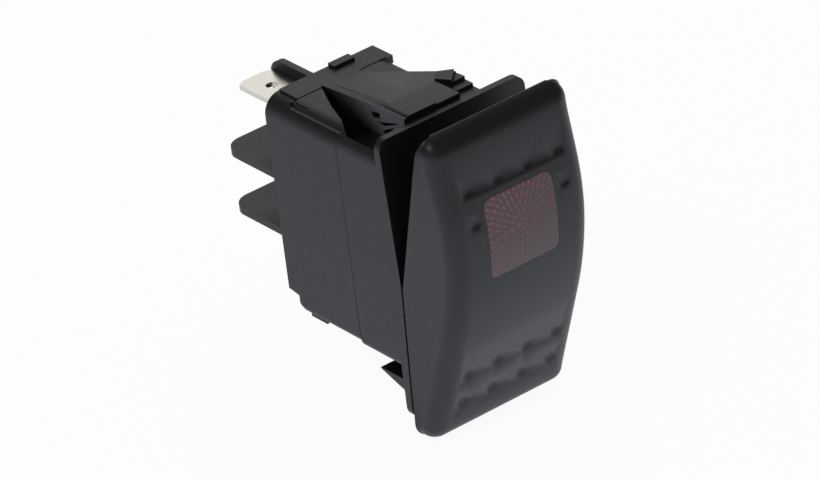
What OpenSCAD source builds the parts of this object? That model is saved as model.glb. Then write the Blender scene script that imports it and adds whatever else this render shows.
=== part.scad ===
// Panel rocker switch, maintained two-position, with a window lens in the cap.
// X is the width, +Y points back behind the panel, +Z is up.
// The origin is the middle of the panel opening, on the rear face of the flange.

/* [Flange] */
// Width of the flange that covers the panel opening
flange_w = 27.0; // [25.6:0.1:30]
// Height of the flange
flange_h = 46.2; // [44:0.1:50]
// Thickness of the flange at its upper and lower ends
flange_end_t = 1.2; // [1:0.1:2]
// Thickness of the flange at mid height, where its front face comes to a ridge
flange_mid_t = 2.4; // [1.8:0.1:3]
// Radius of the four corners of the flange
flange_corner_r = 1.8; // [0.5:0.1:3]

/* [Body] */
// Width of the body, which fills the panel opening
body_w = 20.6; // [20:0.1:22]
// Height of the body
body_h = 36.4; // [35.6:0.1:38]
// Distance from the panel face to the seam between bracket and base
seam_y = 14.1; // [13:0.1:15.5]
// Distance from the panel face to the back of the base
base_back_y = 31.2; // [30:0.1:34]
// Radius of the two upper corners of the body
body_top_r = 3.0; // [2:0.1:3.2]
// Radius of the two lower corners of the body
body_bottom_r = 1.5; // [1:0.1:3]
// Wall thickness of the bracket
bracket_wall = 1.5; // [1.4:0.05:1.8]
// How far the base stands in from the bracket all round
base_step = 0.4; // [0.1:0.05:0.5]
// Thickness of the rubber gasket in the seam
seal_t = 0.3; // [0.3:0.1:1]

/* [Snap wings] */
// Half width of a wing at its root
wing_root_hw = 2.6; // [2:0.1:3]
// Half width of a wing at its toothed end
wing_end_hw = 7.3; // [6:0.1:7.6]
// Distance from the panel face to the root of a wing
wing_root_y = 27.0; // [25:0.1:27.2]
// Distance from the panel face to the highest point of a wing
wing_peak_y = 5.6; // [5:0.1:6.5]
// Height of that point above the face of the body
wing_rise = 5.8; // [5:0.1:6.2]
// Thickness of the wing's plate
wing_t = 1.3; // [1:0.05:1.6]
// Width of the bar that runs along one edge of a wing
bar_w = 6.6; // [6:0.1:7.2]
// Radius of the bar's long edges
bar_edge_r = 1.2; // [0.8:0.1:1.25]
// How far the web beside the bar lies below it
wing_sink = 0.25; // [0.2:0.05:0.5]
// Thickness of the skirt under the bar's outer edge
skirt_t = 1.2; // [0.8:0.05:1.6]
// Half width of the lower wing's shoulders
shoulder_hw = 8.7; // [7.8:0.1:8.9]
// Distance from the panel face to the back of the lower wing's shoulders
shoulder_y = 13.2; // [11:0.1:13.6]
// Number of ratchet steps at the end of a wing
tooth_count = 3; // [2:1:4]
// Height of one ratchet step
tooth_rise = 0.5; // [0.3:0.05:0.6]

/* [Rocker] */
// Height of the rocker cap from rim to rim
cap_h = 53.6; // [50:0.1:56]
// How far the cap stands in from the flange at each side
cap_side_gap = 0.05; // [0:0.05:0.8]
// Distance from the panel face to the crown of the cap, at mid travel
cap_front = 14.1; // [12.5:0.1:16]
// How far the middle of the cap stands above the hinge axis
cap_lift = 1.1; // [0:0.1:2.5]
// Height of the crown above the hinge axis
cap_crown_z = 6; // [3:0.5:8]
// Radius of the face above the crown
cap_upper_r = 33; // [28:1:45]
// Radius of the face below the crown
cap_lower_r = 55; // [45:1:80]
// Slope at which the face runs out to its upper end
cap_upper_slope = 21; // [16:0.5:22]
// Slope at which the face runs out to its lower end
cap_lower_slope = 12.5; // [9:0.5:14]
// Radius of the folds between the face and the sides
cap_fold_r = 3.0; // [2:0.1:4]
// Radius of the cap's four corners seen from the front
cap_corner_r = 2.8; // [2:0.1:4]
// Draft of the sides of the cap
cap_draft = 3.5; // [0:0.5:4]
// Wall thickness of the cap
cap_wall = 1.8; // [1.4:0.1:2.4]
// Full swing of the rocker
travel = 19; // [16:0.5:20]
// Distance of the hinge axis behind the panel face
hinge_y = 1.5; // [1:0.1:2.5]
// Gap left between the pressed half of the rim and the flange
rim_gap = 0.3; // [0.25:0.05:0.6]

/* [Grip dimples and lens] */
// Diameter of a grip dimple at the surface
dimple_d = 2.3; // [1.5:0.1:3]
// Depth of a grip dimple
dimple_depth = 0.35; // [0.2:0.05:0.5]
// Distance between dimples along a row
dimple_pitch = 5.5; // [4:0.1:5.8]
// Height of the upper row of dimples above the hinge axis
top_row_z = 20.0; // [19.4:0.1:21]
// Height of the two dimples beside the lens
side_row_z = 15.2; // [12:0.1:16]
// Distance of the lowest row of dimples below the hinge axis
low_row_z = 18.6; // [17:0.1:20]
// Distance between the two lower rows of dimples
row_pitch = 5.7; // [4:0.1:6]
// Side of the square lens
lens_size = 12.6; // [10:0.1:12.8]
// Height of the lens centre above the hinge axis
lens_z = 11.4; // [10.4:0.1:11.6]
// Corner radius of the lens
lens_corner_r = 1.2; // [0.5:0.1:2]
// Width of the rim that holds the lens from behind
lens_rim = 1.0; // [0.6:0.1:1.4]

/* [Terminals] */
// Width of a quick-connect blade
blade_w = 6.35; // [6.3:0.05:6.4]
// Thickness of a blade
blade_t = 0.8; // [0.75:0.01:0.85]
// Distance from the panel face to the tips of the blades
blade_tip_y = 42.4; // [40:0.1:44]
// Diameter of the latching hole in a blade
blade_hole_d = 1.9; // [1.5:0.05:2.2]
// Distance from a blade's tip to the middle of its hole
blade_hole_back = 4.5; // [3.6:0.1:5]
// Distance between two rows of terminals
row_z = 9.7; // [9.2:0.1:9.8]
// Height of the lamp terminal above the middle of the body
lamp_z = 14.5; // [14:0.1:14.8]
// Distance of the lamp terminal's middle from the middle plane
lamp_x = 3.8; // [3.7:0.05:3.9]
// Distance of the power terminals' middle from the middle plane
pole_x = 5.2; // [5:0.05:5.3]

/* [Barrier fins] */
// Thickness of a barrier fin
fin_t = 1.2; // [0.7:0.05:1.3]
// Distance from the panel face to the back edge of the fins
fin_back_y = 43.6; // [41:0.1:46]
// Corner radius of a fin
fin_r = 3.0; // [1:0.1:4]

/* [Contact mechanism] */
// Radius of the trunnions that the rocker swings on
trunnion_r = 1.5; // [1.2:0.05:1.8]
// Running clearance of trunnions and plunger, on the radius
run_gap = 0.06; // [0.04:0.01:0.09]
// Radius of the plunger
plunger_r = 1.5; // [1.2:0.05:1.7]
// Distance from the hinge axis to the centre of the plunger's round tip
plunger_reach = 17.5; // [17:0.1:18]
// Gap between the plunger's tip and the contact arm
tip_gap = 0.2; // [0.15:0.01:0.3]
// How far the plunger can be pushed in
plunger_stroke = 0.8; // [0.5:0.1:1.2]
// Wire diameter of the plunger spring
spring_wire = 0.35; // [0.25:0.05:0.45]
// Number of turns of the plunger spring
spring_turns = 6; // [4:1:8]
// Thickness of the contact arm's strip
arm_t = 0.8; // [0.6:0.05:1]
// Width of the contact arm
arm_w = 4.6; // [4:0.1:5.2]
// Length of each half of the contact arm
arm_l = 8.6; // [8.2:0.1:9]
// Angle by which each half of the arm leans forwards
arm_v = 9; // [8:0.5:10]
// Full swing of the contact arm
arm_swing = 12; // [10:0.5:13]
// Radius of a contact rivet's head
rivet_r = 1.6; // [1.2:0.05:1.9]
// Thickness of a contact rivet's head
rivet_t = 0.8; // [0.5:0.05:1]
// Distance of the contacts below the arm's axis
contact_z = 6.9; // [6.7:0.1:7.2]

/* [Lamp] */
// Radius of the lamp's body
lamp_r = 2.4; // [1.5:0.05:2.45]
// Distance from the panel face to the lamp's tip
lamp_tip_y = 1.0; // [0.6:0.1:2]
// Distance of the lamp from the middle plane
lamp_off_x = 3.4; // [3.3:0.05:3.5]
// Height of the lamp's axis
lamp_axis_z = 8.6; // [8.4:0.05:8.7]
// Radius of a lamp lead
lead_r = 0.3; // [0.2:0.05:0.4]
// Thickness of the strip that feeds the lamp from the load terminal
jumper_t = 0.4; // [0.3:0.05:0.45]
// Width of that strip
jumper_w = 2.0; // [1.6:0.1:2.4]

/* [Hidden] */
$fn = 48;

eps = 0.01;                             // overlap that makes a cut break through
fit_gap = 0.05;                         // play between two fixed pieces
move_gap = 0.3;                         // least distance between pieces that move past each other
plastic = "#303236";
tinned = "#c9c6bf";
copper = "#b87346";
silver = "#d8d8d4";

hw = body_w / 2;
hh = body_h / 2;
well_w = body_w - 2 * bracket_wall;     // the well that the rocker's actuator swings in
well_h = body_h - 2 * bracket_wall;
well_mouth_h = well_h - 2;
seal_y = [seam_y - seal_t / 2, seam_y + seal_t / 2];
base_hw = hw - base_step / 4;
base_hh = hh - base_step;
base_wall = 1.3;
relief_h = 3.3;                         // step cut from the base's lower back edge
relief_l = 2.4;
rib_l = 3.8;                            // low rib on the underside of the base
rib_x = [-base_hw + 0.7, -base_hw + 1.9];
barrier_foot = 4;                       // how far a barrier reaches below the lamp terminal
barrier_r = 2.8;
back_wall_y = base_back_y - 3.7;        // front face of the base's rear wall
tongue_hw = hw - 1.2;                   // strap of the bracket that lies over the base
tongue_t = 1.3;
tongue_back_y = base_back_y - 0.4;
pocket_depth = 5.2;                     // room for a wing to be pressed in
pocket_back_y = back_wall_y - 1.6;
ceiling_z = base_hh - pocket_depth - 1.1;
wall_x = [0.2, 1.2];                    // partition between the lamp side and the pole side

strip_x = [-well_w / 2 + 1.4, hw - 0.1];  // raised strip at the back of that strap
strip_front_y = wing_root_y - 1.0;
slot_neck = [5.7, 20.4];                // half width and depth where the wing's slot bends
slot_waist = [7.2, 16.2];

cap_hh = cap_h / 2;
cap_w = flange_w - 2 * cap_side_gap;
cap_edge_r = cap_corner_r * 0.85;
roof = atan((flange_mid_t - flange_end_t) / (flange_h / 2));
rim_v = travel / 2 - roof;              // lean of each half of the rim
rim_mid = hinge_y - ((hinge_y + flange_mid_t) * cos(roof) + rim_gap) / cos(rim_v);

arm_axis_y = hinge_y + plunger_reach + plunger_r + tip_gap + arm_t;
nib_r = arm_t;
cradle_y = [arm_axis_y + 0.1, arm_axis_y + 1.9];
rest_lean = (arm_v - arm_swing / 2);
contact_plane_y = arm_axis_y - contact_z * tan(rest_lean) + rivet_t + rivet_r * sin(rest_lean) + 0.06;
foot_y = contact_plane_y + rivet_t;
shank_r = 0.7;

holder_wall = 0.8;
holder_hw = lamp_r + holder_wall;
holder_x = [-lamp_off_x - holder_hw, -lamp_off_x + holder_hw];
holder_z = [lamp_axis_z - lamp_r - 0.4, lamp_axis_z + lamp_r + 0.2];
lamp_l = 7.4;                           // length of the lamp in front of its holder
socket_t = 1.4;
socket_y = [lamp_tip_y + lamp_l, lamp_tip_y + lamp_l + socket_t];
lead_dx = 1.3;
resistor_gap = 4.5;
resistor_l = 5.8;
resistor_y = [socket_y[1] + resistor_gap + 0.4, socket_y[1] + resistor_gap + 0.4 + resistor_l];
resistor_r = 1.1;
lamp_foot_y = back_wall_y - blade_t;
lead_turn_y = lamp_foot_y - 2.3;
jumper_x = [wall_x[1] + 0.1, wall_x[1] + 0.1 + jumper_t];

// ---------------------------------------------------------------- shared shapes

// Rectangle with its own radius on the upper and the lower corners
module outline(w, h, top_r, bottom_r) {
    for (s = [-1, 1]) {
        translate([s * (w / 2 - top_r), h / 2 - top_r]) circle(top_r);
        translate([s * (w / 2 - bottom_r), -h / 2 + bottom_r]) circle(bottom_r);
    }
    translate([-w / 2, -h / 2 + bottom_r]) square([w, h - top_r - bottom_r]);
    translate([-w / 2 + top_r, 0]) square([w - 2 * top_r, h / 2]);
    translate([-w / 2 + bottom_r, -h / 2]) square([w - 2 * bottom_r, h / 2]);
}

// A drawing in X and Z given depth along Y, from y0 to y1
module along_y(y0, y1) {
    translate([0, y1, 0]) rotate([90, 0, 0]) linear_extrude(y1 - y0) children();
}

// A drawing in Y and Z given width along X, from x0 to x1
module along_x(x0, x1) {
    translate([x0, 0, 0]) rotate([90, 0, 90]) linear_extrude(x1 - x0) children();
}

module block(x, y, z) {
    translate([x[0], y[0], z[0]]) cube([x[1] - x[0], y[1] - y[0], z[1] - z[0]]);
}

module rod_y(r, y0, y1) {
    translate([0, y1, 0]) rotate([90, 0, 0]) cylinder(r = r, h = y1 - y0);
}

module rod_x(r, x0, x1) {
    translate([x0, 0, 0]) rotate([0, 90, 0]) cylinder(r = r, h = x1 - x0);
}

// Turns the rocker's pieces from mid travel to rest, with the lower half pressed
module at_rest() {
    translate([0, hinge_y, 0]) rotate([travel / 2, 0, 0]) translate([0, -hinge_y, 0]) children();
}

// Turns the contact arm from mid travel to rest
module arm_at_rest() {
    translate([0, arm_axis_y, 0]) rotate([-arm_swing / 2, 0, 0]) translate([0, -arm_axis_y, 0])
        children();
}

// ---------------------------------------------------------------- bracket

// Flange with a flat back and a front that rises to a ridge at mid height
module flange() {
    intersection() {
        along_y(-flange_mid_t, 0) outline(flange_w, flange_h, flange_corner_r, flange_corner_r);
        along_x(-flange_w / 2, flange_w / 2)
            polygon([[0, -flange_h / 2], [0, flange_h / 2], [-flange_end_t, flange_h / 2],
                     [-flange_mid_t, 0], [-flange_end_t, -flange_h / 2]]);
    }
}

// Half width of the wing at depth y
function wing_hw(y) = wing_root_hw
    + (wing_end_hw - wing_root_hw) * (wing_root_y - y) / (wing_root_y - wing_peak_y);

wing_nose_y = 0.4;                      // a wing ends just behind the flange's rear face
wing_y1 = wing_root_y + 1;              // and starts inside the strap
peak_z = hh + wing_rise;
tooth_y = wing_peak_y + 0.8;            // where the ratchet steps begin
tooth_run = (tooth_y - 1) / tooth_count;
ratchet_x = 3.0;

// Height of the bar's top at depth y
function wing_z(y) = hh + wing_rise * (wing_root_y - y) / (wing_root_y - wing_peak_y);

// Plan of a wing: straight sides that spread from the root to the peak
module wing_plan() {
    polygon([[-wing_hw(wing_y1), wing_y1], [-wing_end_hw, wing_peak_y], [-wing_end_hw, wing_nose_y],
             [wing_end_hw, wing_nose_y], [wing_end_hw, wing_peak_y], [wing_hw(wing_y1), wing_y1]]);
}

// Part of that plan within w of its left edge
module edge_plan(w) {
    intersection() {
        wing_plan();
        polygon([[-wing_hw(wing_y1), wing_y1], [-wing_end_hw, wing_peak_y], [-wing_end_hw, wing_nose_y],
                 [-wing_end_hw + w, wing_nose_y], [-wing_end_hw + w, wing_peak_y],
                 [-wing_hw(wing_y1) + w, wing_y1]]);
    }
}

// Plate that climbs from the strap to the peak and runs on level; sink lowers its high end
module climbing_plate(sink) {
    along_x(-hw, hw)
        polygon([[wing_y1, hh], [wing_root_y, hh], [wing_peak_y, peak_z - sink], [wing_nose_y, peak_z - sink],
                 [wing_nose_y, peak_z - sink - wing_t], [wing_peak_y, peak_z - sink - wing_t],
                 [wing_root_y, hh - tongue_t], [wing_y1, hh - tongue_t]]);
}

// Tool that rounds the upper edge from p to q, with the material on side s of it
module edge_round(p, q, r, s) {
    d = q - p;
    translate(p) rotate([0, 0, atan2(d[1], d[0])]) rotate([0, -asin(d[2] / norm(d)), 0])
        translate([-r / 4, 0, 0]) difference() {
            translate([0, s > 0 ? -1 : -r, -r]) cube([norm(d) + r / 2, r + 1, r + 1]);
            translate([-1, s * r, -r]) rotate([0, 90, 0]) cylinder(r = r, h = norm(d) + r / 2 + 2);
        }
}

// Bar along the left edge of a wing, with a skirt under its outer side and rounded long edges
module wing_bar() {
    skirt_back_y = wing_root_y - 4.5;
    difference() {
        union() {
            intersection() {
                linear_extrude(2 * hh) edge_plan(bar_w);
                climbing_plate(0);
            }
            intersection() {
                linear_extrude(2 * hh) edge_plan(skirt_t);
                along_x(-hw, hw) polygon([[skirt_back_y, wing_z(skirt_back_y) - wing_t / 2],
                    [wing_peak_y, peak_z - wing_t / 2], [wing_nose_y, peak_z - wing_t / 2],
                    [wing_nose_y, hh + 1.6], [wing_peak_y + 2, hh + 0.4],
                    [skirt_back_y - 3.1, hh - 1.7], [skirt_back_y, wing_z(skirt_back_y) - wing_t]]);
            }
        }
        for (side = [[0, 1], [bar_w, -1]]) {
            root = [-wing_root_hw + side[0], wing_root_y, hh];
            peak = [-wing_end_hw + side[0], wing_peak_y, peak_z];
            nose = [-wing_end_hw + side[0], wing_nose_y, peak_z];
            edge_round(root, peak, bar_edge_r, side[1]);
            edge_round(peak, nose, bar_edge_r, side[1]);
        }
    }
}

// Web beside the bar, which ends in ratchet steps with a raised pad behind them
module wing_web() {
    difference() {
        union() {
            intersection() {
                linear_extrude(2 * hh) wing_plan();
                climbing_plate(wing_sink);
            }
            block([ratchet_x, wing_end_hw], [wing_nose_y, tooth_y + 1],
                  [peak_z - wing_sink - wing_t - tooth_count * tooth_rise, peak_z - wing_sink - wing_t + eps]);
        }
        for (i = [0 : tooth_count - 1])
            block([ratchet_x, wing_end_hw + 1], [wing_nose_y - 1, tooth_y - i * tooth_run],
                  [peak_z - wing_sink - (i + 1) * tooth_rise, 2 * hh]);
    }
    translate([0, 0, peak_z - wing_sink - wing_t]) linear_extrude(wing_t + wing_sink - 0.05)
        polygon([[ratchet_x + 0.2, tooth_y], [ratchet_x + 1.7, tooth_y + 1.6],
                 [wing_end_hw - 0.4, tooth_y + 0.1], [ratchet_x + 1.5, tooth_y - 2.3]]);
}

// Wedge-shaped shoulders of the lower wing
module shoulders() {
    inner_z = peak_z - 2.5;
    along_x(-shoulder_hw, shoulder_hw)
        polygon([[shoulder_y - 1, inner_z], [shoulder_y - 1, inner_z + 0.2], [wing_peak_y + 1.9, peak_z - 0.8],
                 [wing_peak_y, peak_z - 0.3], [wing_nose_y, peak_z - 0.3], [wing_nose_y, inner_z]]);
}

// Snap wing, made as the upper one; the lower one is turned half round and has shoulders
module wing(low) {
    difference() {
        union() {
            wing_bar();
            wing_web();
            if (low) shoulders();
        }
        // slots that let the end of the skirt give
        along_x(-hw, -wing_end_hw + skirt_t + 1) {
            polygon([[wing_peak_y + 3.9, hh + 3.4], [wing_peak_y + 0.9, hh + 4.3],
                     [wing_peak_y + 1.0, hh + 3.4], [wing_peak_y + 3.4, hh + 2.6]]);
            polygon([[wing_peak_y + 1.9, hh + 2.6], [wing_peak_y - 3.6, hh + 4.3],
                     [wing_peak_y - 3.6, hh + 4.1], [wing_peak_y - 0.2, hh + 2.7]]);
            polygon([[wing_peak_y + 0.2, hh + 1.8], [wing_peak_y - 2.4, hh + 3.2],
                     [wing_peak_y - 2.2, hh + 2.6], [wing_peak_y, hh + 1.3]]);
        }
    }
}

// Opening round a wing, narrow at the root and as wide as the well at the flange
module wing_slot() {
    slot_hw = well_w / 2 + 0.4;
    half = [[wing_root_hw + 0.3, wing_root_y - 0.5], slot_neck, slot_waist,
            [tongue_hw - 0.8, seam_y + 0.1], [slot_hw, seam_y - 1.6], [slot_hw, 1.2]];
    translate([0, 0, hh - tongue_t - 1.2]) linear_extrude(tongue_t + 4)
        for (s = [0, 1]) mirror([s, 0, 0]) polygon(concat([[-eps, 1.2], [-eps, wing_root_y - 0.5]], half));
}

// Plan of the strap and of the strip across its back end, grown by gap
module tongue_plan(gap) {
    translate([-tongue_hw - gap, seam_y - 2]) square([2 * (tongue_hw + gap), strip_front_y - seam_y + 2 + gap]);
    translate([strip_x[0] - gap, strip_front_y - 1])
        square([strip_x[1] - strip_x[0] + 2 * gap, tongue_back_y - strip_front_y + 1 + gap]);
}

module tongue() {
    translate([0, 0, hh - tongue_t]) intersection() {
        linear_extrude(tongue_t) tongue_plan(0);
        union() {
            translate([0, 0, tongue_t - hh]) along_y(0, strip_front_y)
                outline(body_w, body_h, body_top_r, body_top_r);
            block([-hw, hw], [strip_front_y - eps, base_back_y], [0, tongue_t]);
        }
    }
    block([1.8, 5.6], [tongue_back_y - 1.6, tongue_back_y], [hh - eps, hh + 0.5]);
}

// Shallow groove that marks off the strip and turns forward at its left end
module tongue_groove() {
    groove = 0.3;
    for (x = [[-tongue_hw + 0.6, -wing_root_hw], [wing_root_hw + 1.5, tongue_hw]])
        block(x, [strip_front_y, strip_front_y + groove], [hh - groove, hh + eps]);
    block([-tongue_hw + 0.6, -tongue_hw + 0.6 + groove], [strip_front_y - 3.4, strip_front_y + eps],
          [hh - groove, hh + eps]);
}

module bracket() color(plastic) {
    difference() {
        union() {
            flange();
            along_y(-eps, seal_y[0]) outline(body_w, body_h, body_top_r, body_bottom_r);
            for (s = [0, 1]) mirror([0, 0, s]) tongue();
        }
        along_y(-flange_mid_t - eps, 3) square([well_w, well_mouth_h], center = true);
        along_y(2, seal_y[1]) square([well_w, well_h], center = true);
        for (s = [0, 1]) mirror([0, 0, s]) {
            wing_slot();
            tongue_groove();
        }
        for (s = [0, 1]) mirror([s, 0, 0])
            translate([0, hinge_y, 0]) rod_x(trunnion_r + run_gap, well_w / 2 - eps,
                                             hw - bracket_wall / 3);
    }
    wing(false);
    rotate([0, 180, 0]) wing(true);
}

// ---------------------------------------------------------------- gasket

module frame_seal() color("#1b1b1c") {
    inset = 0.12;
    along_y(seal_y[0], seal_y[1]) difference() {
        outline(body_w - 2 * inset, body_h - 2 * inset, body_top_r, body_bottom_r);
        square([well_w, well_h], center = true);
        for (s = [-1, 1]) translate([0, s * hh]) square([2 * (tongue_hw + fit_gap), 4], center = true);
    }
}

// ---------------------------------------------------------------- base

// Barrier fin between two rows of terminals
module fin(z) {
    translate([0, 0, z - fin_t / 2]) linear_extrude(fin_t) {
        translate([-base_hw, base_back_y - 1]) square([2 * base_hw, fin_back_y - fin_r - base_back_y + 1]);
        translate([-base_hw + fin_r, base_back_y]) square([2 * (base_hw - fin_r), fin_back_y - base_back_y]);
        for (s = [-1, 1]) translate([s * (base_hw - fin_r), fin_back_y - fin_r]) circle(fin_r);
    }
}

// Upright barrier beside the lamp terminal
module barrier() {
    top_z = base_hh - 1.0;
    end_y = blade_tip_y + 0.1;
    r = barrier_r;
    foot_z = lamp_z - barrier_foot;
    along_x(-fin_t / 2 + 0.05, fin_t / 2 - 0.05) {
        translate([base_back_y - 1, foot_z]) square([end_y - base_back_y + 1, top_z - r - foot_z]);
        translate([base_back_y - 1, foot_z]) square([end_y - r - base_back_y + 1, top_z - foot_z]);
        translate([end_y - r, top_z - r]) circle(r);
    }
}

// Cuts for one terminal: the blade's slot through the rear wall, and room for its foot
module blade_slot(x, z) {
    block([x - blade_w / 2 - fit_gap, x + blade_w / 2 + fit_gap], [pocket_back_y, base_back_y + 1],
          [z - blade_t / 2 - fit_gap, z + blade_t / 2 + fit_gap]);
}

module base() color(plastic) {
    chamber_y = [seal_y[1] - eps, back_wall_y];
    floor_z = -ceiling_z;
    inner = base_hw - base_wall;
    difference() {
        union() {
            along_y(seal_y[1], base_back_y)
                outline(2 * base_hw, 2 * base_hh, body_top_r, body_bottom_r);
            for (s = [-1, 1]) fin(s * row_z / 2);
            for (s = [0, 1]) mirror([0, 0, s]) barrier();
            block(rib_x, [base_back_y - rib_l - 4, base_back_y - 4], [-base_hh - 0.35, -base_hh + 1]);
        }
        // chambers of the lamp and of the pole
        block([-inner, wall_x[0]], chamber_y, [floor_z, ceiling_z]);
        block([wall_x[1], inner], chamber_y, [floor_z, ceiling_z]);
        // seat of the bracket's strap and the pocket under each wing
        for (s = [0, 1]) mirror([0, 0, s]) {
            translate([0, 0, hh - tongue_t - fit_gap]) linear_extrude(tongue_t + 1)
                tongue_plan(fit_gap);
            block([-tongue_hw + 0.4, tongue_hw - 0.4], [seal_y[0], pocket_back_y],
                  [base_hh - pocket_depth, hh + 1]);
        }
        // relief of the lower back edge
        along_x(-hw, hw) translate([base_back_y, -base_hh]) polygon([[0.1, relief_h], [-0.6, relief_h - 0.1],
            [-relief_l, relief_h - 0.4], [-relief_l, 1.6], [-relief_l - 0.7, 0.9], [-relief_l - 1.6, -1],
            [0.1, -1]]);
        blade_slot(-lamp_x, lamp_z);
        block([-lamp_x - blade_w / 2 - fit_gap, -lamp_x + blade_w / 2 + fit_gap],
              [lamp_foot_y - fit_gap, back_wall_y + fit_gap],
              [ceiling_z - eps, lamp_z + blade_t / 2 + fit_gap]);
        for (z = [0, -row_z]) blade_slot(pole_x, z);
        // hole in the partition for the lamp lead that crosses it
        translate([0, lead_turn_y, lamp_axis_z]) rod_x(lead_r + 0.3, wall_x[0] - eps, wall_x[1] + eps);
    }
}

// ---------------------------------------------------------------- terminals

// Flat blade with a bevelled tip and a latching hole, from y0 to the tip
module blade(y0) {
    chamfer_x = 1.3;
    chamfer_y = 0.65;
    w = blade_w / 2;
    translate([0, 0, -blade_t / 2]) linear_extrude(blade_t) difference() {
        polygon([[-w, y0], [w, y0], [w, blade_tip_y - chamfer_y], [w - chamfer_x, blade_tip_y],
                 [-w + chamfer_x, blade_tip_y], [-w, blade_tip_y - chamfer_y]]);
        translate([0, blade_tip_y - blade_hole_back]) circle(d = blade_hole_d);
    }
}

// The lamp terminal turns down into a foot that the lamp's lead ends on
module lamp_blade() color(tinned) translate([-lamp_x, 0, 0]) {
    translate([0, 0, lamp_z]) blade(lamp_foot_y);
    block([-blade_w / 2, blade_w / 2], [lamp_foot_y, lamp_foot_y + blade_t - fit_gap],
          [lamp_axis_z - 1, lamp_z + blade_t / 2]);
}

// The line terminal ends in a cradle that the contact arm rocks in
module line_blade() color(tinned) translate([pole_x, 0, 0]) {
    blade(cradle_y[1] - eps);
    difference() {
        block([-arm_w / 2, arm_w / 2], cradle_y, [-1.5, 1.5]);
        translate([0, arm_axis_y, 0]) rod_x(nib_r + run_gap, -arm_w, arm_w);
    }
}

// The load terminal turns up into a foot that carries the fixed contact
module load_blade() color(tinned) translate([pole_x, 0, 0]) {
    translate([0, 0, -row_z]) blade(foot_y);
    difference() {
        block([-blade_w / 2, blade_w / 2], [foot_y, foot_y + blade_t],
              [-row_z - blade_t / 2, -contact_z + rivet_r + 0.3]);
        translate([0, 0, -contact_z]) rod_y(shank_r + 0.02, foot_y - 1, foot_y + blade_t + 1);
    }
}

module fixed_contact() color(silver) translate([pole_x, 0, -contact_z]) {
    rod_y(rivet_r, contact_plane_y, foot_y);
    rod_y(shank_r, foot_y - eps, foot_y + blade_t);
}

// ---------------------------------------------------------------- lamp

module lamp_holder() color("#e4e1d6") {
    hole_y = socket_y[1] + 0.2;
    difference() {
        union() {
            block(holder_x, [socket_y[0], back_wall_y - blade_t - 0.3], holder_z);
        }
        block([holder_x[0] + holder_wall, holder_x[1] - holder_wall], [socket_y[1], back_wall_y],
              [holder_z[0] + holder_wall, holder_z[1] + 1]);
        translate([-lamp_off_x, 0, lamp_axis_z]) rod_y(lamp_r + fit_gap, socket_y[0] - 1, hole_y);
        translate([0, lead_turn_y, lamp_axis_z]) rod_x(lead_r + 0.3, -lamp_off_x, wall_x[1]);
    }
}

module lamp() color("#b3202a") translate([-lamp_off_x, 0, lamp_axis_z]) {
    dome_y = lamp_tip_y + lamp_r;
    rod_y(lamp_r, dome_y, socket_y[1]);
    translate([0, dome_y, 0]) rotate([90, 0, 0]) rotate_extrude()
        intersection() {
            circle(lamp_r);
            square(lamp_r);
        }
    rod_y(lamp_r + 0.35, socket_y[0] - 0.9, socket_y[0]);
}

module lead(x, y0, y1) {
    translate([x, 0, lamp_axis_z]) rod_y(lead_r, y0, y1);
}

module lamp_lead_left() color(tinned) {
    lead(-lamp_off_x - lead_dx, socket_y[1], resistor_y[0]);
    lead(-lamp_off_x - lead_dx, resistor_y[1], lamp_foot_y);
}

module lamp_lead_right() color(tinned) {
    x0 = -lamp_off_x + lead_dx;
    lead(x0, socket_y[1], lead_turn_y);
    translate([0, lead_turn_y, lamp_axis_z]) rod_x(lead_r, x0, jumper_x[1] + 0.6);
    translate([x0, lead_turn_y, lamp_axis_z]) sphere(lead_r);
}

// Strip beside the partition, from the lamp's second lead down to the load terminal
module lamp_jumper() color(copper) {
    low_z = -row_z + blade_t / 2 + 0.02;
    difference() {
        union() {
            block(jumper_x, [lead_turn_y - jumper_w / 2, lead_turn_y + jumper_w / 2],
                  [low_z, lamp_axis_z + 1.1]);
            block([jumper_x[0], pole_x], [lead_turn_y, lead_turn_y + jumper_w / 2],
                  [low_z, low_z + jumper_t]);
        }
        translate([0, lead_turn_y, lamp_axis_z]) rod_x(lead_r + 0.02, 0, pole_x);
    }
}

module resistor() color("#9fb7c4") translate([-lamp_off_x - lead_dx, resistor_y[0], lamp_axis_z])
    rotate([-90, 0, 0]) rotate_extrude() {
        l = resistor_y[1] - resistor_y[0];
        translate([0, 0.4]) square([resistor_r - 0.2, l - 0.8]);
        translate([0, 0]) square([resistor_r - 0.5, l]);
        for (y = [0.2, l - 1.6]) translate([0, y]) square([resistor_r, 1.4]);
    }

// ---------------------------------------------------------------- rocker cap

// How far the cap's face falls back from its crown, at height z
function face_drop(z) = let (
        r = z > cap_crown_z ? cap_upper_r : cap_lower_r,
        a = z > cap_crown_z ? cap_upper_slope : cap_lower_slope,
        d = abs(z - cap_crown_z))
    d < r * sin(a) ? r - sqrt(r * r - d * d) : r * (1 - cos(a)) + (d - r * sin(a)) * tan(a);

// Slope of the face at height z, positive above the crown
function face_slope(z) = z > cap_crown_z
    ? min(cap_upper_slope, asin(min(1, (z - cap_crown_z) / cap_upper_r)))
    : -min(cap_lower_slope, asin(min(1, (cap_crown_z - z) / cap_lower_r)));

// Inset of a quarter round of radius r, at distance e in from its end
function quarter(r, e) = e >= r ? 0 : r - sqrt(max(0, r * r - (r - e) * (r - e)));

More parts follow.
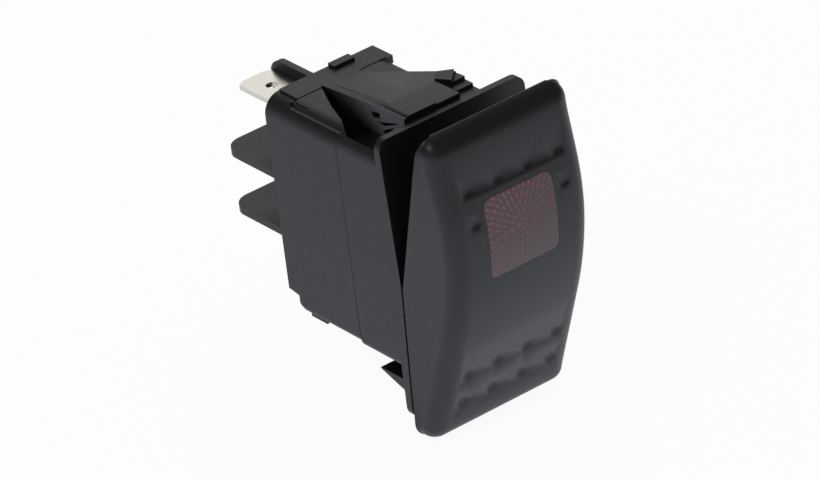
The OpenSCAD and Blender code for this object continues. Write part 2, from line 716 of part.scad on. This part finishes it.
// One level section of the cap, at height z; t sets it in for the inner surface
function cap_ring(z, t) = let (
        e = max(0, cap_hh - t - abs(z - cap_lift)),
        half = cap_w / 2 - t - quarter(cap_corner_r, e),
        rim = rim_mid - abs(z) * tan(rim_v),
        yf = -cap_front + face_drop(z) + t + quarter(cap_edge_r, e),
        half_f = half + (yf - rim_mid) * tan(cap_draft),
        r = min(max(cap_fold_r - t, 0.6), max(0.05, 0.8 * (rim - yf))),
        left = [for (a = [0 : t > 0 ? 22.5 : 7.5 : 90]) [-(half_f - r) - r * cos(a), yf + r - r * sin(a), z]])
    concat([[-half, t > 0 ? 4 : rim, z]], left,
           [for (i = [len(left) - 1 : -1 : 0]) [-left[i][0], left[i][1], z]],
           [[half, t > 0 ? 4 : rim, z]]);

// Heights of the sections: close together at the rounded ends, and one at the hinge axis
function cap_levels(t) = let (
        h = cap_hh - t,
        ends = [for (a = [0 : t > 0 ? 22.5 : 11.25 : 78.75]) cap_corner_r * (1 - cos(a))],
        n = t > 0 ? 6 : 15)
    concat([for (e = ends) cap_lift - h + e],
           [for (i = [0 : n - 1]) (cap_lift - h + cap_corner_r) * (1 - i / n)],
           [0],
           [for (i = [1 : n]) (cap_lift + h - cap_corner_r) * i / n],
           [for (i = [len(ends) - 1 : -1 : 0]) cap_lift + h - ends[i]]);

module cap_body(t) {
    rings = [for (z = cap_levels(t)) cap_ring(z, t)];
    n = len(rings[0]);
    m = len(rings);
    polyhedron(
        points = [for (ring = rings, p = ring) p],
        faces = concat(
            [[for (j = [0 : n - 1]) j]],
            [[for (j = [n - 1 : -1 : 0]) (m - 1) * n + j]],
            [for (i = [0 : m - 2], j = [0 : n - 1]) let (k = (j + 1) % n)
                each [[i * n + j, (i + 1) * n + j, (i + 1) * n + k],
                      [i * n + j, (i + 1) * n + k, i * n + k]]]));
}

// Ball that leaves a dimple of the stated width and depth in the cap's face
module dimple(x, z) {
    r = (dimple_d * dimple_d / 4 + dimple_depth * dimple_depth) / (2 * dimple_depth);
    translate([x, -cap_front + face_drop(z), z]) rotate([-face_slope(z), 0, 0])
        translate([0, dimple_depth - r, 0]) sphere(r, $fn = 40);
}

module dimples() {
    for (i = [-1.5 : 1.5]) {
        dimple(i * dimple_pitch, top_row_z);
        for (k = [0, 1]) dimple(i * dimple_pitch, -low_row_z + k * row_pitch);
    }
    for (s = [-1, 1]) dimple(s * 1.5 * dimple_pitch, side_row_z);
}

module window(grow) {
    translate([0, 0, lens_z]) along_y(-cap_front - 1, 0)
        outline(lens_size + 2 * grow, lens_size + 2 * grow, lens_corner_r, lens_corner_r);
}

module rocker() color(plastic) at_rest() {
    difference() {
        cap_body(0);
        cap_body(cap_wall);
        window(fit_gap);
        dimples();
    }
}

module lens() color("#7d1f2b") at_rest() {
    difference() {
        intersection() {
            cap_body(0);
            window(0);
        }
        cap_body(cap_wall + 1);
    }
    difference() {
        intersection() {
            cap_body(cap_wall + fit_gap);
            window(lens_rim);
            block([-cap_w, cap_w], [-cap_front, rim_mid - 3], [0, cap_h]);
        }
        cap_body(cap_wall + 1);
    }
}

// ---------------------------------------------------------------- actuator

lug_x = [well_w / 2 - 1.7, well_w / 2 - move_gap];
bridge_y = [rim_mid - 1.8, rim_mid - 0.3];
bridge_hh = 13;
lug_r = trunnion_r + 1.4;
lug_foot_hh = 6;
post_hh = 1.2;
tube_r = plunger_r + run_gap + 0.9;
tube_back_y = hinge_y + plunger_reach - 6;
bore_front_y = bridge_y[0] + 0.9;
spring_y = [bore_front_y, hinge_y + 4.4];

module plunger_axis() translate([pole_x, 0, 0]) children();

// Carrier under the cap: a bridge, two lugs with trunnions, and the tube that guides the plunger
module actuator() color("#3a3c40") at_rest() {
    difference() {
        union() {
            block([-well_w / 2 + move_gap, well_w / 2 - move_gap], bridge_y, [-bridge_hh, bridge_hh]);
            for (s = [0, 1]) mirror([s, 0, 0]) {
                along_x(lug_x[0], lug_x[1]) {
                    polygon([[bridge_y[0], -lug_foot_hh], [bridge_y[0], lug_foot_hh],
                             [hinge_y, lug_r], [hinge_y, -lug_r]]);
                    translate([hinge_y, 0]) circle(lug_r);
                }
                translate([0, hinge_y, 0])
                    rod_x(trunnion_r, lug_x[1] - eps, hw - bracket_wall / 3 - 0.15);
                // posts that reach forward to the inside of the cap
                for (z = [-bridge_hh + post_hh, -lug_foot_hh]) block([lug_x[0] - 0.6, lug_x[1]],
                    [-cap_front + face_drop(z - post_hh) + cap_wall + fit_gap, bridge_y[1]],
                    [z - post_hh, z + post_hh]);
            }
            plunger_axis() rod_y(tube_r, bridge_y[0], tube_back_y);
        }
        plunger_axis() rod_y(plunger_r + run_gap, bore_front_y, tube_back_y + 1);
        // light passes from the lamp to the lens
        translate([-lamp_off_x, 0, lamp_axis_z]) rod_y(lamp_r + 0.8, bridge_y[0] - 1, bridge_y[1] + 1);
    }
}

module plunger() color("#e8e6df") at_rest() plunger_axis() {
    tip_y = hinge_y + plunger_reach;
    rod_y(plunger_r, spring_y[1], tip_y);
    translate([0, tip_y, 0]) rotate([-90, 0, 0]) rotate_extrude()
        intersection() {
            circle(plunger_r);
            square(plunger_r);
        }
}

// Compression spring between the bottom of the bore and the plunger
module plunger_spring() color("#a9adb2") at_rest() plunger_axis() {
    sides = 8;
    steps = 16;
    coil_r = plunger_r - spring_wire / 2 - 0.15;
    l = spring_y[1] - spring_y[0] - spring_wire;
    rings = [for (i = [0 : spring_turns * steps]) let (
            a = 360 * i / steps,
            y = spring_y[0] + spring_wire / 2 + l * i / (spring_turns * steps))
        [for (j = [0 : sides - 1]) let (b = 360 * j / sides, r = coil_r + spring_wire / 2 * cos(b))
            [r * cos(a), y + spring_wire / 2 * sin(b), r * sin(a)]]];
    m = len(rings);
    polyhedron(
        points = [for (ring = rings, p = ring) p],
        faces = concat(
            [[for (j = [0 : sides - 1]) j]],
            [[for (j = [sides - 1 : -1 : 0]) (m - 1) * sides + j]],
            [for (i = [0 : m - 2], j = [0 : sides - 1]) let (k = (j + 1) % sides)
                each [[i * sides + j, (i + 1) * sides + j, (i + 1) * sides + k],
                      [i * sides + j, (i + 1) * sides + k, i * sides + k]]]));
}

// ---------------------------------------------------------------- contact arm

module contact_arm() color(copper) arm_at_rest() translate([pole_x, arm_axis_y, 0]) {
    difference() {
        union() {
            for (s = [0, 1]) mirror([0, 0, s]) rotate([arm_v, 0, 0])
                block([-arm_w / 2, arm_w / 2], [-arm_t, 0], [0, arm_l]);
            rod_x(nib_r, -arm_w / 2, arm_w / 2);
        }
        mirror([0, 0, 1]) rotate([arm_v, 0, 0]) translate([0, 0, contact_z])
            rod_y(shank_r + 0.02, -arm_t - 1, 1);
    }
}

module moving_contact() color(silver) arm_at_rest() translate([pole_x, arm_axis_y, 0])
    mirror([0, 0, 1]) rotate([arm_v, 0, 0]) translate([0, 0, contact_z]) {
        rod_y(rivet_r, 0, rivet_t);
        rod_y(shank_r, -arm_t, eps);
    }

// ---------------------------------------------------------------- nodes

bracket();
frame_seal();
base();
lamp_blade();
lamp_jumper();
line_blade();
load_blade();
fixed_contact();
lamp_holder();
lamp();
lamp_lead_left();
lamp_lead_right();
resistor();
rocker();
lens();
actuator();
plunger();
plunger_spring();
contact_arm();
moving_contact();
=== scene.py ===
import math

import bmesh
import bpy
from bpy.props import FloatProperty, FloatVectorProperty, IntProperty, PointerProperty
from mathutils import Matrix, Vector


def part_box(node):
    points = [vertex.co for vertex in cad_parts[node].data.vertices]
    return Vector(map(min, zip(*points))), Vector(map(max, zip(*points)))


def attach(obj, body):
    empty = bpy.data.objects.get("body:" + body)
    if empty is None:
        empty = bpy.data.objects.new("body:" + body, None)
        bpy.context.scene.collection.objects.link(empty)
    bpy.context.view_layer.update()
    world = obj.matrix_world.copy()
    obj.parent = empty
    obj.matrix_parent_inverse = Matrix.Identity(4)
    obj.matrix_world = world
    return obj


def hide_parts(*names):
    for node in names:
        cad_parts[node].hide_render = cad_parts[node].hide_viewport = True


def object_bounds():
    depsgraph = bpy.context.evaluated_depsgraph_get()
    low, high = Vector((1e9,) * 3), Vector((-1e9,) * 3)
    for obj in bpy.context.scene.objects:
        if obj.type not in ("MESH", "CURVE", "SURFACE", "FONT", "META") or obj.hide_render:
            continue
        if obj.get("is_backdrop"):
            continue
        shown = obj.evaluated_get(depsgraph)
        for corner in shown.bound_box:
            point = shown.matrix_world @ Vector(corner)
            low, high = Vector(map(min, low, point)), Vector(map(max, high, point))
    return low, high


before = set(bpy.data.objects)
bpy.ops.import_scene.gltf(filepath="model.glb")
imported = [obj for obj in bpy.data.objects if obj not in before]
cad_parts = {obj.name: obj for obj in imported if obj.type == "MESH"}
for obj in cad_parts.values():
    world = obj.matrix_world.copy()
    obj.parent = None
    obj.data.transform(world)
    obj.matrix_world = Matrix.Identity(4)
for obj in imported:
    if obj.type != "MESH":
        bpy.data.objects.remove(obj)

bl_info = {
    "name": "Panel rocker switch",
    "version": (1, 0, 0),
    "blender": (4, 5, 0),
    "location": "View3D > Sidebar > Switch",
    "description": "Dresses a packed panel rocker switch with moulded and plated finishes",
    "category": "Object",
}

MM = 0.001


# ---------------------------------------------------------------- colours and nodes

def linear(code):
    """sRGB hex, such as "2b2c2f", as a linear colour with alpha."""
    channels = [int(code[i:i + 2], 16) / 255 for i in (0, 2, 4)]
    return [c / 12.92 if c <= 0.04045 else ((c + 0.055) / 1.055) ** 2.4 for c in channels] + [1.0]


def add_node(tree, kind, inputs=None, **settings):
    """Adds a shader node. A value in inputs is a constant, or an output socket to link from."""
    node = tree.nodes.new("ShaderNode" + kind)
    for name, value in settings.items():
        setattr(node, name, value)
    for name, value in (inputs or {}).items():
        socket = node.inputs[name]
        if isinstance(value, bpy.types.NodeSocket):
            tree.links.new(value, socket)
        else:
            socket.default_value = value
    return node


def new_material(name):
    """An empty material with its output node, as (material, tree, output)."""
    material = bpy.data.materials.new(name)
    material.use_nodes = True
    tree = material.node_tree
    tree.nodes.clear()
    return material, tree, add_node(tree, "OutputMaterial")


def grain_height(tree, pitch_mm, detail=2.0, stretch=(1, 1, 1)):
    """Noise on the piece's own coordinates, with bumps about pitch_mm apart."""
    place = add_node(tree, "TexCoord")
    turned = add_node(tree, "Mapping", {"Vector": place.outputs["Object"], "Scale": stretch})
    return add_node(tree, "TexNoise", {"Vector": turned.outputs[0], "Scale": 1000 / pitch_mm,
                                       "Detail": detail, "Roughness": 0.6})


def ramp(tree, factor, stops):
    """Colour ramp with (position, linear colour) stops."""
    node = add_node(tree, "ValToRGB", {"Fac": factor})
    elements = node.color_ramp.elements
    elements[0].position, elements[0].color = stops[0]
    elements[1].position, elements[1].color = stops[-1]
    for position, colour in stops[1:-1]:
        elements.new(position).color = colour
    return node.outputs["Color"]


def grey(value):
    return [value, value, value, 1.0]


# ---------------------------------------------------------------- finishes

def moulded_nylon(name, base_hex, worn_hex, roughness, grain_mm, depth_mm):
    """Injection-moulded glass-filled nylon: a spark-eroded tool leaves a fine even grain, so the
    light spreads wide and the flow of the melt shows as faint cloudy patches."""
    material, tree, output = new_material(name)
    flow = grain_height(tree, 9.0, 3.0)
    colour = ramp(tree, flow.outputs["Fac"], [(0.35, linear(base_hex)), (0.7, linear(worn_hex))])
    fine = grain_height(tree, grain_mm, 3.0)
    rough = ramp(tree, fine.outputs["Fac"],
                 [(0.3, grey(roughness - 0.06)), (0.7, grey(roughness + 0.08))])
    bump = add_node(tree, "Bump", {"Height": fine.outputs["Fac"], "Distance": depth_mm * MM,
                                   "Strength": 1.0})
    shader = add_node(tree, "BsdfPrincipled", {
        "Base Color": colour, "Roughness": rough, "Normal": bump.outputs["Normal"], "IOR": 1.53,
        "Specular IOR Level": 0.5})
    tree.links.new(shader.outputs[0], output.inputs["Surface"])
    return material


def tin_plate():
    """Bright tin plated on stamped brass: the rolling lines of the strip still show through it."""
    material, tree, output = new_material("tin_plated_brass")
    rolled = grain_height(tree, 0.12, 2.0, (1.0, 0.06, 1.0))
    cloud = grain_height(tree, 2.5, 3.0)
    colour = ramp(tree, cloud.outputs["Fac"], [(0.3, linear("c9c5bb")), (0.75, linear("e2dfd6"))])
    rough = ramp(tree, cloud.outputs["Fac"], [(0.3, grey(0.26)), (0.7, grey(0.4))])
    bump = add_node(tree, "Bump", {"Height": rolled.outputs["Fac"], "Distance": 0.004 * MM})
    shader = add_node(tree, "BsdfPrincipled", {
        "Base Color": colour, "Metallic": 1.0, "Roughness": rough,
        "Normal": bump.outputs["Normal"]})
    tree.links.new(shader.outputs[0], output.inputs["Surface"])
    return material


def rolled_metal(name, dark_hex, light_hex, roughness):
    """Rolled or drawn metal, with fine lines along the way it was worked."""
    material, tree, output = new_material(name)
    lines = grain_height(tree, 0.15, 2.0, (1.0, 0.1, 1.0))
    colour = ramp(tree, lines.outputs["Fac"], [(0.3, linear(dark_hex)), (0.7, linear(light_hex))])
    bump = add_node(tree, "Bump", {"Height": lines.outputs["Fac"], "Distance": 0.003 * MM})
    shader = add_node(tree, "BsdfPrincipled", {
        "Base Color": colour, "Metallic": 1.0, "Roughness": roughness,
        "Normal": bump.outputs["Normal"]})
    tree.links.new(shader.outputs[0], output.inputs["Surface"])
    return material


def pressed_rubber():
    """Compression-moulded rubber: dull, with a dusty bloom in patches."""
    material, tree, output = new_material("pressed_rubber")
    bloom = grain_height(tree, 1.6, 3.0)
    colour = ramp(tree, bloom.outputs["Fac"], [(0.35, linear("141414")), (0.75, linear("232323"))])
    bump = add_node(tree, "Bump", {"Height": bloom.outputs["Fac"], "Distance": 0.01 * MM})
    shader = add_node(tree, "BsdfPrincipled", {
        "Base Color": colour, "Roughness": 0.75, "Normal": bump.outputs["Normal"], "IOR": 1.5})
    tree.links.new(shader.outputs[0], output.inputs["Surface"])
    return material


def natural_acetal():
    """Unpigmented acetal: milky white, waxy, slightly warm."""
    material, tree, output = new_material("natural_acetal")
    cloud = grain_height(tree, 4.0, 2.0)
    colour = ramp(tree, cloud.outputs["Fac"], [(0.3, linear("d9d5c9")), (0.7, linear("e6e3da"))])
    bump = add_node(tree, "Bump", {"Height": cloud.outputs["Fac"], "Distance": 0.01 * MM})
    shader = add_node(tree, "BsdfPrincipled", {
        "Base Color": colour, "Roughness": 0.42, "Normal": bump.outputs["Normal"], "IOR": 1.48,
        "Subsurface Weight": 0.15, "Subsurface Scale": 0.5 * MM})
    tree.links.new(shader.outputs[0], output.inputs["Surface"])
    return material


def lamp_glass():
    """Tinted epoxy of an indicator lamp: cast in a polished cup, so it is clear and bright."""
    material, tree, output = new_material("cast_red_epoxy")
    cloud = grain_height(tree, 3.0, 2.0)
    colour = ramp(tree, cloud.outputs["Fac"], [(0.3, linear("8c1119")), (0.7, linear("b51c26"))])
    shader = add_node(tree, "BsdfPrincipled", {
        "Base Color": colour, "Roughness": 0.12, "IOR": 1.55, "Transmission Weight": 0.3})
    tree.links.new(shader.outputs[0], output.inputs["Surface"])
    return material


def lacquered_ceramic():
    """Dip-lacquered resistor body."""
    material, tree, output = new_material("lacquered_ceramic")
    cloud = grain_height(tree, 0.8, 2.0)
    colour = ramp(tree, cloud.outputs["Fac"], [(0.3, linear("8fb0c2")), (0.7, linear("a9c6d4"))])
    shader = add_node(tree, "BsdfPrincipled", {"Base Color": colour, "Roughness": 0.25, "IOR": 1.5})
    tree.links.new(shader.outputs[0], output.inputs["Surface"])
    return material


def lens_acrylic(centre, slope):
    """Dark red acrylic, moulded with rings of short ribs on its inner face. The light the ribs
    throw back is painted into the colour as small bright dashes, a painted highlight that grows
    brighter towards one corner, and the clear skin over them is polished."""
    material, tree, output = new_material("red_acrylic_painted_rib_glints")
    place = add_node(tree, "TexCoord")
    flat = add_node(tree, "Mapping", {"Vector": place.outputs["Object"], "Location": [0, 0, 0],
                                      "Scale": (1000, 1000, 1000)})
    split = add_node(tree, "SeparateXYZ", {"Vector": flat.outputs[0]})

    def calc(operation, a, b=0.0, c=0.0):
        node = add_node(tree, "Math", operation=operation)
        for socket, value in zip(node.inputs, (a, b, c)):
            if isinstance(value, bpy.types.NodeSocket):
                tree.links.new(value, socket)
            else:
                socket.default_value = value
        return node.outputs[0]

    across = calc("SUBTRACT", split.outputs["X"], centre[0] / MM)
    lift = calc("SUBTRACT", split.outputs["Z"], centre[2] / MM)
    along = calc("DIVIDE", lift, math.cos(slope))
    radius = calc("SQRT", calc("ADD", calc("POWER", across, 2.0), calc("POWER", along, 2.0)))
    turn = calc("ARCTAN2", along, across)
    ring_pitch = 1.35
    rings = calc("DIVIDE", radius, ring_pitch)
    ring_no = calc("FLOOR", rings)
    in_ring = calc("FRACT", rings)
    ribs = calc("MULTIPLY", calc("ADD", ring_no, 0.6), 9.0)
    spoke = calc("FRACT", calc("ADD", calc("MULTIPLY", calc("DIVIDE", turn, 2 * math.pi), ribs),
                               calc("MULTIPLY", ring_no, 0.37)))
    dash_r = calc("SMOOTH_MIN", calc("MULTIPLY", in_ring, 3.0),
                  calc("MULTIPLY", calc("SUBTRACT", 1.0, in_ring), 3.0), 0.3)
    off_middle = calc("ABSOLUTE", calc("SUBTRACT", spoke, 0.5))
    dash_a = calc("SUBTRACT", 1.0, calc("MULTIPLY", off_middle, 4.2))
    dash = calc("MULTIPLY", calc("MAXIMUM", dash_a, 0.0),
                calc("MINIMUM", calc("MAXIMUM", dash_r, 0.0), 1.0))
    # painted highlight: the dashes stand in for light thrown back by the ribs, and are made
    # brighter towards one corner of the lens
    fade = calc("ADD", 0.75, calc("MULTIPLY", calc("SUBTRACT", along, across), 0.055))
    painted_rib_glints = calc("MINIMUM", calc("MULTIPLY", dash, calc("MAXIMUM", fade, 0.1)), 1.0)
    # painted highlight: the bright red stops are the painted glints of the dashes over the dark red
    # of the acrylic
    colour = ramp(tree, painted_rib_glints, [(0.0, linear("3a0f1a")), (0.45, linear("8e1f33")),
                               (1.0, linear("d63a50"))])
    shader = add_node(tree, "BsdfPrincipled", {
        "Base Color": colour, "Roughness": 0.22, "IOR": 1.49, "Coat Weight": 0.6,
        "Coat Roughness": 0.08})
    tree.links.new(shader.outputs[0], output.inputs["Surface"])
    return material


def floor_paper():
    """White backdrop paper: white to the camera and to shiny parts, with a soft shadow."""
    material, tree, output = new_material("white_backdrop_paper")
    fibre = grain_height(tree, 1.5, 3.0)
    colour = ramp(tree, fibre.outputs["Fac"], [(0.3, linear("efefef")), (0.7, linear("f6f6f6"))])
    paper = add_node(tree, "BsdfPrincipled", {"Base Color": colour, "Roughness": 0.9})
    seen = add_node(tree, "Emission", {"Color": grey(1.0), "Strength": 1.1})
    mirrored = add_node(tree, "Emission", {"Color": linear("eef1fa"), "Strength": 1.05})
    rays = add_node(tree, "LightPath")
    to_camera = add_node(tree, "Math", {0: rays.outputs["Is Camera Ray"], 1: 0.85},
                         operation="MULTIPLY")
    shiny = add_node(tree, "Math", {0: rays.outputs["Is Glossy Ray"],
                                    1: rays.outputs["Is Transmission Ray"]}, operation="MAXIMUM")
    mix = add_node(tree, "MixShader",
                   {0: to_camera.outputs[0], 1: paper.outputs[0], 2: seen.outputs[0]})
    both = add_node(tree, "MixShader",
                    {0: shiny.outputs[0], 1: mix.outputs[0], 2: mirrored.outputs[0]})
    tree.links.new(both.outputs[0], output.inputs["Surface"])
    return material


# ---------------------------------------------------------------- shared making

def finished(name, mesh, body, slot, material, *stands_for):
    """Links a mesh as a piece with its material and body, and hides the solids it replaces."""
    mesh.materials.clear()
    mesh.materials.append(material)
    piece = bpy.data.objects.new(name, mesh)
    bpy.context.scene.collection.objects.link(piece)
    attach(piece, body)
    if stands_for:
        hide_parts(*stands_for)
    return piece


def smooth_by_angle(bm, degrees=32):
    """Shades faces smooth and keeps an edge sharp where it turns by more than the angle."""
    limit = math.radians(degrees)
    for face in bm.faces:
        face.smooth = True
    for edge in bm.edges:
        edge.smooth = len(edge.link_faces) == 2 and edge.calc_face_angle(0) < limit


def clean_copy(node):
    """The solid's surface as one joined mesh, with its flat faces made whole."""
    bm = bmesh.new()
    bm.from_mesh(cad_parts[node].data)
    bmesh.ops.remove_doubles(bm, verts=bm.verts, dist=0.0005 * MM)
    bmesh.ops.dissolve_limit(bm, angle_limit=math.radians(0.3), verts=bm.verts, edges=bm.edges,
                             delimit={"NORMAL"})
    return bm


def to_mesh(bm, name):
    mesh = bpy.data.meshes.new(name)
    bm.to_mesh(mesh)
    bm.free()
    return mesh


def dressed(node, body, slot, material):
    """A smooth-shaded copy of a solid, in its own material."""
    bm = clean_copy(node)
    bmesh.ops.triangulate(bm, faces=[f for f in bm.faces if len(f.verts) > 4])
    smooth_by_angle(bm)
    return finished(node + "_shell", to_mesh(bm, node + "_shell"), body, slot, material, node)


def keep(node, material):
    """The solid itself, in its own material."""
    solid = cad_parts[node]
    solid.data.materials.clear()
    solid.data.materials.append(material)


# ---------------------------------------------------------------- settings

class SwitchFinish(bpy.types.PropertyGroup):
    """Finish of the moulded parts"""
    housing_roughness: FloatProperty(
        name="Housing roughness", description="Roughness of the bracket and base", default=0.5,
        min=0.1, max=1.0, subtype="FACTOR")
    cap_roughness: FloatProperty(
        name="Cap roughness", description="Roughness of the rocker cap", default=0.42,
        min=0.1, max=1.0, subtype="FACTOR")
    grain: FloatProperty(
        name="Grain", description="Distance between the bumps of the moulded grain, in millimetres",
        default=0.22, min=0.05, max=1.0)


class SwitchStage(bpy.types.PropertyGroup):
    """Camera and light"""
    azimuth: FloatProperty(
        name="Azimuth", description="Side that the camera stands on, in degrees", default=-35.1214)
    elevation: FloatProperty(
        name="Elevation", description="Height of the camera above the horizon, in degrees",
        default=29.1199)
    roll: FloatProperty(
        name="Roll", description="Turn of the camera about its own axis, in degrees",
        default=7.2615)
    distance: FloatProperty(
        name="Distance", description="Distance from the camera to the switch", default=0.90001,
        unit="LENGTH")
    shift_right: FloatProperty(
        name="Shift right",
        description="How far the switch's origin lies right of the view's middle",
        default=0.0076622, unit="LENGTH")
    shift_down: FloatProperty(
        name="Shift down", description="How far the switch's origin lies below the view's middle",
        default=0.00070705, unit="LENGTH")
    lens: FloatProperty(
        name="Lens", description="Focal length, in millimetres", default=272.02)


# ---------------------------------------------------------------- pieces

class SWITCH_OT_housing(bpy.types.Operator):
    """Dress the bracket, the base and the gasket between them"""
    bl_idname = "switch.housing"
    bl_label = "Housing"

    def execute(self, context):
        finish = context.scene.switch_finish
        nylon = moulded_nylon("black_glass_filled_nylon", "121315", "1a1b1e",
                              finish.housing_roughness, finish.grain, 0.012)
        dressed("bracket", "frame", "housing_plastic", nylon)
        dressed("base", "frame", "housing_plastic", nylon)
        dressed("frame_seal", "frame", "seal_rubber", pressed_rubber())
        return {"FINISHED"}


class SWITCH_OT_terminals(bpy.types.Operator):
    """Dress the three blade terminals"""
    bl_idname = "switch.terminals"
    bl_label = "Terminals"

    def execute(self, context):
        tin = tin_plate()
        for node in ("lamp_blade", "line_blade", "load_blade"):
            dressed(node, "frame", "tinned_brass", tin)
        return {"FINISHED"}


class SWITCH_OT_contacts(bpy.types.Operator):
    """Dress the contact arm, the contacts, the plunger and its spring"""
    bl_idname = "switch.contacts"
    bl_label = "Contacts"

    def execute(self, context):
        silver = rolled_metal("silver_contact_alloy", "b9b9b4", "d9d9d4", 0.3)
        copper = rolled_metal("rolled_copper", "a8673f", "c98a5c", 0.3)
        wire = rolled_metal("drawn_spring_wire", "85888c", "b2b5b8", 0.28)
        keep("fixed_contact", silver)
        keep("moving_contact", silver)
        keep("contact_arm", copper)
        keep("lamp_jumper", copper)
        keep("plunger_spring", wire)
        keep("plunger", natural_acetal())
        return {"FINISHED"}


class SWITCH_OT_lamp(bpy.types.Operator):
    """Dress the lamp, its holder, its leads and its resistor"""
    bl_idname = "switch.lamp"
    bl_label = "Lamp"

    def execute(self, context):
        keep("lamp_holder", natural_acetal())
        keep("lamp", lamp_glass())
        tin = rolled_metal("tinned_lead_wire", "a9a8a2", "c9c7c0", 0.3)
        keep("lamp_lead_left", tin)
        keep("lamp_lead_right", tin)
        keep("resistor", lacquered_ceramic())
        return {"FINISHED"}


class SWITCH_OT_rocker(bpy.types.Operator):
    """Dress the rocker cap and the actuator under it"""
    bl_idname = "switch.rocker"
    bl_label = "Rocker"

    def execute(self, context):
        finish = context.scene.switch_finish
        cap = moulded_nylon("black_moulded_cap", "131416", "1b1c1f", finish.cap_roughness,
                            finish.grain, 0.012)
        inner = moulded_nylon("black_moulded_carrier", "1a1b1d", "222326", 0.55, finish.grain, 0.01)
        dressed("rocker", "rocker", "cap_plastic", cap)
        dressed("actuator", "rocker", "housing_plastic", inner)
        return {"FINISHED"}


class SWITCH_OT_lens(bpy.types.Operator):
    """Dress the window lens in the cap"""
    bl_idname = "switch.lens"
    bl_label = "Lens"

    def execute(self, context):
        low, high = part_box("lens")
        centre = (low + high) / 2
        dressed("lens", "rocker", "lens_plastic", lens_acrylic(centre, math.radians(18)))
        return {"FINISHED"}


class SWITCH_OT_stage(bpy.types.Operator):
    """Set the floor, the lights and the camera"""
    bl_idname = "switch.stage"
    bl_label = "Stage"

    def execute(self, context):
        scene = context.scene
        low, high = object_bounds()
        floor_bm = bmesh.new()
        bmesh.ops.create_grid(floor_bm, x_segments=1, y_segments=1, size=4.0,
                              matrix=Matrix.Translation((0, 0, low.z - 0.5 * MM)))
        floor = bpy.data.objects.new("floor", to_mesh(floor_bm, "floor"))
        floor.data.materials.append(floor_paper())
        scene.collection.objects.link(floor)
        floor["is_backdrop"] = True

        def softbox(name, place, aim, size, power):
            lamp = bpy.data.lights.new(name, "AREA")
            lamp.shape, lamp.size, lamp.energy = "DISK", size, power
            holder = bpy.data.objects.new(name, lamp)
            holder.location = place
            towards = Vector(aim) - Vector(place)
            holder.rotation_euler = towards.to_track_quat("-Z", "Y").to_euler()
            scene.collection.objects.link(holder)

        softbox("key_softbox", (-0.5, -0.25, 0.7), (0, 0, 0), 0.25, 1.2)
        softbox("rear_softbox", (0.62, 0.86, 0.62), (0, 0, 0), 0.9, 2.2)

        world = bpy.data.worlds.new("studio_surround")
        world.use_nodes = True
        world.node_tree.nodes.clear()
        tree = world.node_tree
        output = add_node(tree, "OutputWorld")
        rays = add_node(tree, "LightPath")
        dim = add_node(tree, "Background", {"Color": grey(1.0), "Strength": 0.16})
        white = add_node(tree, "Background", {"Color": grey(1.0), "Strength": 1.0})
        mix = add_node(tree, "MixShader", {0: rays.outputs["Is Camera Ray"], 1: dim.outputs[0],
                                           2: white.outputs[0]})
        tree.links.new(mix.outputs[0], output.inputs["Surface"])
        scene.world = world

        stage = scene.switch_stage
        a, e, r = (math.radians(v) for v in (stage.azimuth, stage.elevation, stage.roll))
        forward = -Vector((math.sin(a) * math.cos(e), -math.cos(a) * math.cos(e), math.sin(e)))
        level = forward.cross(Vector((0, 0, 1))).normalized()
        below = forward.cross(level)
        right = math.cos(r) * level + math.sin(r) * below
        down = -math.sin(r) * level + math.cos(r) * below
        camera = bpy.data.objects.new("camera", bpy.data.cameras.new("camera"))
        camera.data.lens = stage.lens
        camera.data.sensor_width = 36
        camera.data.clip_start, camera.data.clip_end = 0.01, 20
        place = -(stage.shift_right * right + stage.shift_down * down + stage.distance * forward)
        turn = Matrix((right, -down, -forward)).transposed()
        camera.matrix_world = Matrix.Translation(place) @ turn.to_4x4()
        scene.collection.objects.link(camera)
        scene.camera = camera
        scene.view_settings.view_transform = "Standard"
        return {"FINISHED"}


class SWITCH_PT_panel(bpy.types.Panel):
    """Lists the pieces of the switch"""
    bl_label = "Panel rocker switch"
    bl_idname = "SWITCH_PT_panel"
    bl_space_type = "VIEW_3D"
    bl_region_type = "UI"
    bl_category = "Switch"

    def draw(self, context):
        layout = self.layout
        for settings in (context.scene.switch_finish, context.scene.switch_stage):
            for name in settings.bl_rna.properties.keys():
                if name not in ("rna_type", "name"):
                    layout.prop(settings, name)
        for operator in PIECES:
            layout.operator(operator.bl_idname)


PIECES = (SWITCH_OT_housing, SWITCH_OT_terminals, SWITCH_OT_contacts, SWITCH_OT_lamp,
          SWITCH_OT_rocker, SWITCH_OT_lens, SWITCH_OT_stage)
CLASSES = (SwitchFinish, SwitchStage) + PIECES + (SWITCH_PT_panel,)


def register():
    for cls in CLASSES:
        bpy.utils.register_class(cls)
    bpy.types.Scene.switch_finish = PointerProperty(type=SwitchFinish)
    bpy.types.Scene.switch_stage = PointerProperty(type=SwitchStage)


def unregister():
    del bpy.types.Scene.switch_stage
    del bpy.types.Scene.switch_finish
    for cls in reversed(CLASSES):
        bpy.utils.unregister_class(cls)


def main():
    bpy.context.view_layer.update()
    register()
    for operator in PIECES:
        getattr(bpy.ops.switch, operator.bl_idname.split(".")[1])()


if __name__ == "__main__":
    main()
